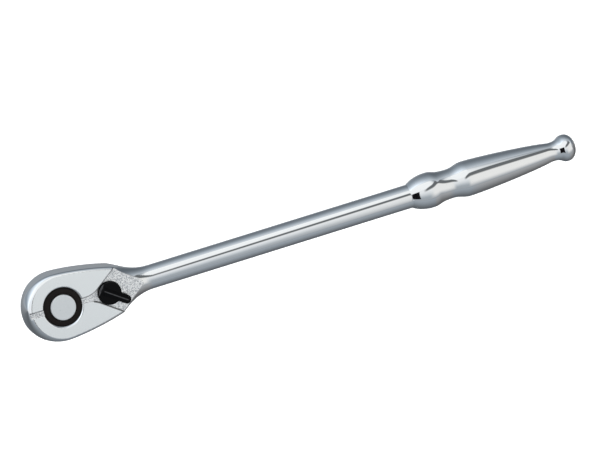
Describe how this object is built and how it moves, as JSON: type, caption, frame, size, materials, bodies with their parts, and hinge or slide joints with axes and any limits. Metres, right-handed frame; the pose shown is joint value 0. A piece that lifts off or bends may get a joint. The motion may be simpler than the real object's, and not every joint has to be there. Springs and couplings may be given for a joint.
{
  "type": "ratchet wrench",
  "caption": "Long-handled reversible hand ratchet: pear-shaped head, square drive with ball detent, reversing lever, and a one-piece contoured steel grip ending in a round knob.",
  "frame": {"origin": "centre of the square drive's end face", "axes": "+X along the handle from the drive's axis to the end knob; +Z along the drive's axis, from the square towards the side of the head that carries the reversing lever; +Y completes the right-handed frame"},
  "size_m": [0.2803, 0.0324, 0.0293],
  "materials": {
    "chrome": "polished and satin chrome plate over forged steel",
    "gear_steel": "satin machined steel",
    "spring_steel": "drawn and hardened steel",
    "black_steel": "black oxide",
    "lever_black": "satin black",
    "rubber": "matte black rubber"
  },
  "bodies": {
    "body": {"handle_body": "chrome", "dust_seal": "rubber", "cover_plate": "black_steel", "cover_snap_ring": "black_steel", "wave_washer": "spring_steel", "pawl_pin": "gear_steel"},
    "drive": {"drive_gear": "gear_steel", "drive_o_ring": "rubber", "detent_spring": "spring_steel"},
    "detent": {"detent_ball": "spring_steel"},
    "lever": {"reverse_lever": "lever_black", "lever_o_ring": "rubber", "lever_retaining_ring": "spring_steel", "plunger_spring": "spring_steel"},
    "plunger": {"lever_plunger": "gear_steel"},
    "pawl": {"pawl": "gear_steel"}
  },
  "joints": [
    {"name": "drive_spin", "type": "hinge", "parent": "body", "child": "drive", "pos_m": [0, 0, 0.01925], "axis": [0, 0, 1], "continuous": true},
    {"name": "detent_press", "type": "slide", "parent": "drive", "child": "detent", "axis": [0, 1, 0], "range_m": [0, 0.0006], "stiffness_N_per_m": 1500, "springref_m": -0.001, "deforming": ["detent_spring"]},
    {"name": "lever_swing", "type": "hinge", "parent": "body", "child": "lever", "pos_m": [0.02315, 0, 0.0193], "axis": [0, 0, 1], "range_deg": [0, 72]},
    {"name": "plunger_press", "type": "slide", "parent": "lever", "child": "plunger", "axis": [0.809, -0.5878, 0], "range_m": [0, 0.0008], "stiffness_N_per_m": 1000, "springref_m": -0.001, "deforming": ["plunger_spring"]},
    {"name": "pawl_rock", "type": "hinge", "parent": "body", "child": "pawl", "pos_m": [0.0158, 0, 0.0193], "axis": [0, 0, 1], "range_deg": [-8.1, 0.1]}
  ],
  "couplings": [
    {"joint": "pawl_rock", "follows": "lever_swing", "ratio": -0.11111}
  ]
}
